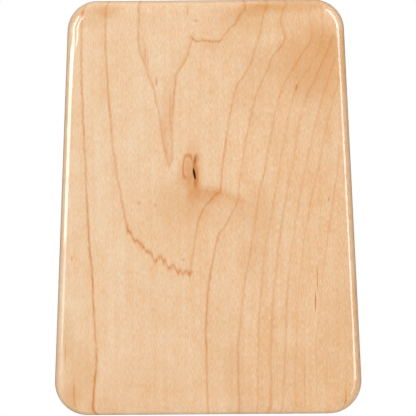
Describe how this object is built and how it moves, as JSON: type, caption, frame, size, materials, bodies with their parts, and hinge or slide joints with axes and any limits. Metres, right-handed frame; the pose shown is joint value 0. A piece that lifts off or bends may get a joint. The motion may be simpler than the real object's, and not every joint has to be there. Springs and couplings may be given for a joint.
{
  "type": "kalimba",
  "caption": "Thumb piano with a tapered solid wooden board and spring-steel tines clamped between a saddle rod, a pressure bar and a hardwood bridge.",
  "frame": {"origin": "centre of the back face, which is the middle of the bounding box's base", "axes": "+Z out of the playing face, +Y along the board towards the narrow end and the bridge, +X to the right as the playing face is seen with the narrow end up"},
  "size_m": [0.137, 0.185, 0.0342],
  "materials": {
    "maple": "clear gloss lacquer",
    "bridge_wood": "oiled satin",
    "tine_steel": "fine brushed",
    "plated_steel": "nickel plated"
  },
  "bodies": {
    "board": {"body_board": "maple", "bridge_block": "bridge_wood", "saddle_rod": "plated_steel", "pressure_bar": "plated_steel", "clamp_screw_1": "plated_steel", "clamp_screw_2": "plated_steel", "clamp_screw_3": "plated_steel", "clamp_screw_4": "plated_steel"},
    "c4_tine": {"tine_c4": "tine_steel"},
    "d4_tine": {"tine_d4": "tine_steel"},
    "e4_tine": {"tine_e4": "tine_steel"},
    "f4_tine": {"tine_f4": "tine_steel"},
    "g4_tine": {"tine_g4": "tine_steel"},
    "a4_tine": {"tine_a4": "tine_steel"},
    "b4_tine": {"tine_b4": "tine_steel"},
    "c5_tine": {"tine_c5": "tine_steel"},
    "d5_tine": {"tine_d5": "tine_steel"},
    "e5_tine": {"tine_e5": "tine_steel"},
    "f5_tine": {"tine_f5": "tine_steel"},
    "g5_tine": {"tine_g5": "tine_steel"},
    "a5_tine": {"tine_a5": "tine_steel"},
    "b5_tine": {"tine_b5": "tine_steel"},
    "c6_tine": {"tine_c6": "tine_steel"},
    "d6_tine": {"tine_d6": "tine_steel"},
    "e6_tine": {"tine_e6": "tine_steel"}
  },
  "joints": [
    {"name": "pluck_c4", "type": "hinge", "parent": "board", "child": "c4_tine", "pos_m": [0, 0.054, 0.0255], "axis": [1, 0, 0], "range_deg": [-1.5, 2], "stiffness_Nm_per_rad": 4.19},
    {"name": "pluck_d4", "type": "hinge", "parent": "board", "child": "d4_tine", "pos_m": [-0.0062, 0.054, 0.0255], "axis": [1, 0, 0], "range_deg": [-1.5, 2], "stiffness_Nm_per_rad": 4.44},
    {"name": "pluck_e4", "type": "hinge", "parent": "board", "child": "e4_tine", "pos_m": [0.0062, 0.054, 0.0255], "axis": [1, 0, 0], "range_deg": [-1.5, 2], "stiffness_Nm_per_rad": 4.7},
    {"name": "pluck_f4", "type": "hinge", "parent": "board", "child": "f4_tine", "pos_m": [-0.0124, 0.054, 0.0255], "axis": [1, 0, 0], "range_deg": [-1.5, 2], "stiffness_Nm_per_rad": 4.84},
    {"name": "pluck_g4", "type": "hinge", "parent": "board", "child": "g4_tine", "pos_m": [0.0124, 0.054, 0.0255], "axis": [1, 0, 0], "range_deg": [-1.5, 2], "stiffness_Nm_per_rad": 5.13},
    {"name": "pluck_a4", "type": "hinge", "parent": "board", "child": "a4_tine", "pos_m": [-0.0186, 0.054, 0.0255], "axis": [1, 0, 0], "range_deg": [-1.5, 2], "stiffness_Nm_per_rad": 5.43},
    {"name": "pluck_b4", "type": "hinge", "parent": "board", "child": "b4_tine", "pos_m": [0.0186, 0.054, 0.0255], "axis": [1, 0, 0], "range_deg": [-1.5, 2], "stiffness_Nm_per_rad": 5.76},
    {"name": "pluck_c5", "type": "hinge", "parent": "board", "child": "c5_tine", "pos_m": [-0.0248, 0.054, 0.0255], "axis": [1, 0, 0], "range_deg": [-1.5, 2], "stiffness_Nm_per_rad": 5.92},
    {"name": "pluck_d5", "type": "hinge", "parent": "board", "child": "d5_tine", "pos_m": [0.0248, 0.054, 0.0255], "axis": [1, 0, 0], "range_deg": [-1.5, 2], "stiffness_Nm_per_rad": 6.28},
    {"name": "pluck_e5", "type": "hinge", "parent": "board", "child": "e5_tine", "pos_m": [-0.031, 0.054, 0.0255], "axis": [1, 0, 0], "range_deg": [-1.5, 2], "stiffness_Nm_per_rad": 6.65},
    {"name": "pluck_f5", "type": "hinge", "parent": "board", "child": "f5_tine", "pos_m": [0.031, 0.054, 0.0255], "axis": [1, 0, 0], "range_deg": [-1.5, 2], "stiffness_Nm_per_rad": 6.84},
    {"name": "pluck_g5", "type": "hinge", "parent": "board", "child": "g5_tine", "pos_m": [-0.0372, 0.054, 0.0255], "axis": [1, 0, 0], "range_deg": [-1.5, 2], "stiffness_Nm_per_rad": 7.25},
    {"name": "pluck_a5", "type": "hinge", "parent": "board", "child": "a5_tine", "pos_m": [0.0372, 0.054, 0.0255], "axis": [1, 0, 0], "range_deg": [-1.5, 2], "stiffness_Nm_per_rad": 7.68},
    {"name": "pluck_b5", "type": "hinge", "parent": "board", "child": "b5_tine", "pos_m": [-0.0434, 0.054, 0.0255], "axis": [1, 0, 0], "range_deg": [-1.5, 2], "stiffness_Nm_per_rad": 8.14},
    {"name": "pluck_c6", "type": "hinge", "parent": "board", "child": "c6_tine", "pos_m": [0.0434, 0.054, 0.0255], "axis": [1, 0, 0], "range_deg": [-1.5, 2], "stiffness_Nm_per_rad": 8.38},
    {"name": "pluck_d6", "type": "hinge", "parent": "board", "child": "d6_tine", "pos_m": [-0.0496, 0.054, 0.0255], "axis": [1, 0, 0], "range_deg": [-1.5, 2], "stiffness_Nm_per_rad": 8.88},
    {"name": "pluck_e6", "type": "hinge", "parent": "board", "child": "e6_tine", "pos_m": [0.0496, 0.054, 0.0255], "axis": [1, 0, 0], "range_deg": [-1.5, 2], "stiffness_Nm_per_rad": 9.4}
  ]
}
